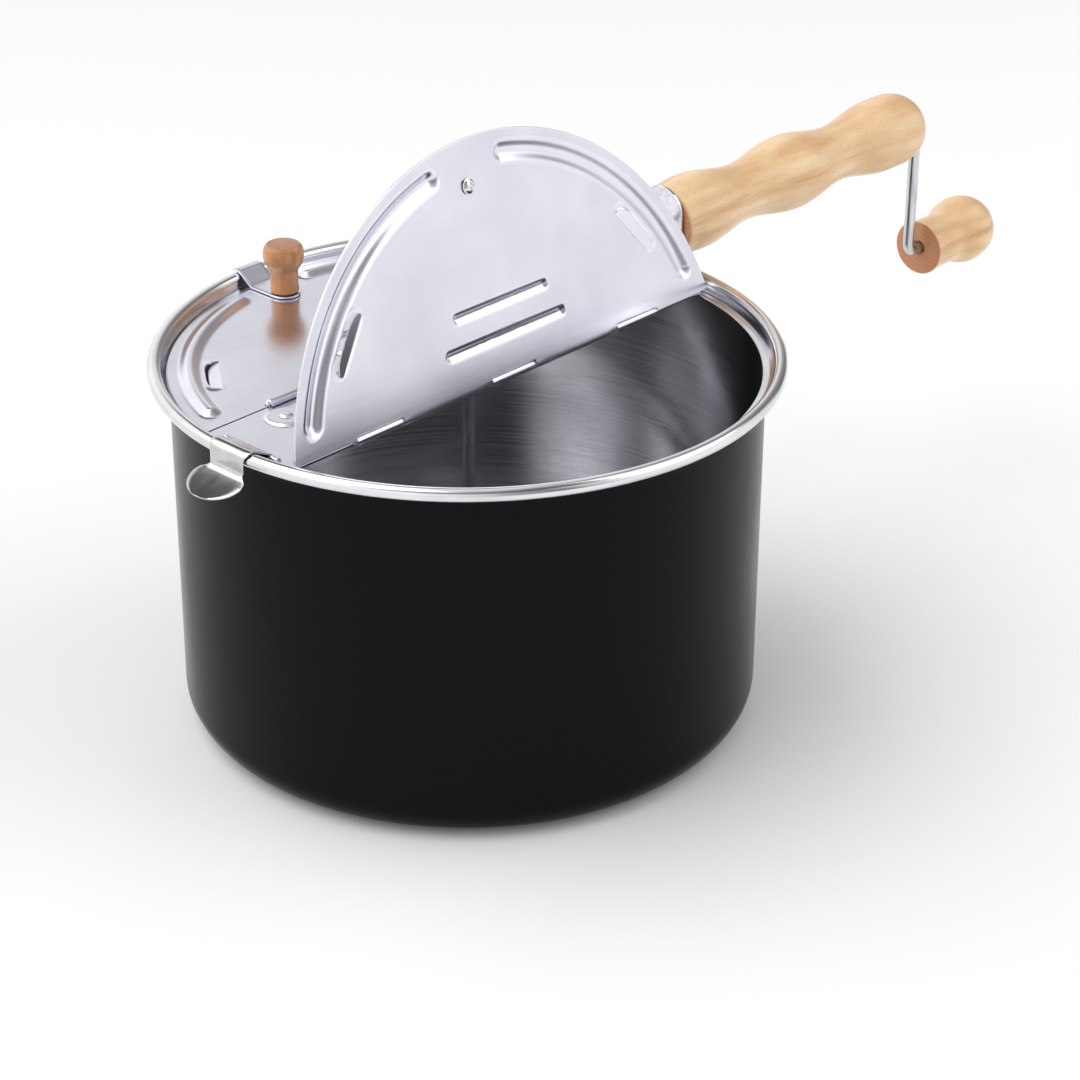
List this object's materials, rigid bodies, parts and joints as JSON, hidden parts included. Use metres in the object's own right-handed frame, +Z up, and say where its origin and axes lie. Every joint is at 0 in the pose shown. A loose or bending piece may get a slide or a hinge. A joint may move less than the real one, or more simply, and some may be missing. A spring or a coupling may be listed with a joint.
{
  "type": "stovetop popcorn popper",
  "caption": "Stovetop popcorn popper: enamelled pot, lid with hinged half-moon flaps on a bridge strip, wavy wood handle with a crank that turns a wire stirrer through bevel gears.",
  "frame": {"origin": "centre of the pot's flat base, which stands on the floor or stove at z 0", "axes": "+Z up; +X along the bridge strip towards the handle and crank; +Y towards the left flap, the one that is closed"},
  "size_m": [0.4955, 0.254, 0.245],
  "materials": {
    "pot": "glossy black enamel outside; bare bright aluminium rim and inside",
    "lid": "satin stamped sheet",
    "clip": "polished stainless sheet",
    "steel": "bright zinc plate",
    "rod": "bright drawn steel",
    "gear": "moulded nylon",
    "bush": "sintered bronze",
    "wood": "clear lacquered beech",
    "knob_wood": "clear lacquered, redder wood"
  },
  "bodies": {
    "pot": {"pot_body": "pot"},
    "lid": {"lid_bridge": "lid", "left_hinge_pin": "steel", "right_hinge_pin": "steel", "near_clip_pin": "steel", "far_clip": "clip", "far_clip_rivet_inner": "steel", "far_clip_rivet_outer": "steel", "handle_bracket": "steel", "bracket_rivet_left": "steel", "bracket_rivet_right": "steel", "handle_grip": "wood", "handle_screw_left": "steel", "handle_screw_right": "steel", "gear_bracket": "steel", "gear_bracket_rivet_back": "steel", "gear_bracket_rivet_front": "steel", "shaft_bushing": "bush"},
    "left_flap": {"left_flap": "lid", "left_knob": "knob_wood", "left_knob_screw": "steel", "left_rim_tab": "lid"},
    "right_flap": {"right_flap": "lid", "right_knob": "knob_wood", "right_knob_screw": "steel", "right_knob_washer": "steel"},
    "near_clip": {"near_clip": "clip"},
    "crank": {"crank_rod": "rod", "drive_gear": "gear", "crank_retaining_ring": "steel"},
    "crank_knob": {"crank_knob": "wood"},
    "stirrer": {"stirrer_shaft": "rod", "stirrer_gear": "gear", "shaft_retaining_ring": "steel", "stirrer_wire": "rod"}
  },
  "joints": [
    {"name": "lid_lift", "type": "slide", "parent": "pot", "child": "lid", "axis": [0, 0, 1], "range_m": [0, 0.165]},
    {"name": "left_flap_hinge", "type": "hinge", "parent": "lid", "child": "left_flap", "pos_m": [0, 0.0238, 0.1521], "axis": [1, 0, 0], "range_deg": [0, 70]},
    {"name": "right_flap_hinge", "type": "hinge", "parent": "lid", "child": "right_flap", "pos_m": [0, -0.0238, 0.1521], "axis": [1, 0, 0], "range_deg": [0, 104.5]},
    {"name": "near_clip_hinge", "type": "hinge", "parent": "lid", "child": "near_clip", "pos_m": [-0.1152, 0, 0.15155], "axis": [0, 1, 0], "range_deg": [0, 90]},
    {"name": "crank_spin", "type": "hinge", "parent": "lid", "child": "crank", "pos_m": [0, 0, 0.1754], "axis": [1, 0, 0], "continuous": true},
    {"name": "crank_knob_spin", "type": "hinge", "parent": "crank", "child": "crank_knob", "pos_m": [0.3033, 0, 0.1092], "axis": [1, 0, 0], "continuous": true},
    {"name": "stirrer_spin", "type": "hinge", "parent": "lid", "child": "stirrer", "pos_m": [0, 0, 0], "axis": [0, 0, 1], "continuous": true}
  ],
  "couplings": [
    {"joint": "stirrer_spin", "follows": "crank_spin", "ratio": 1}
  ]
}
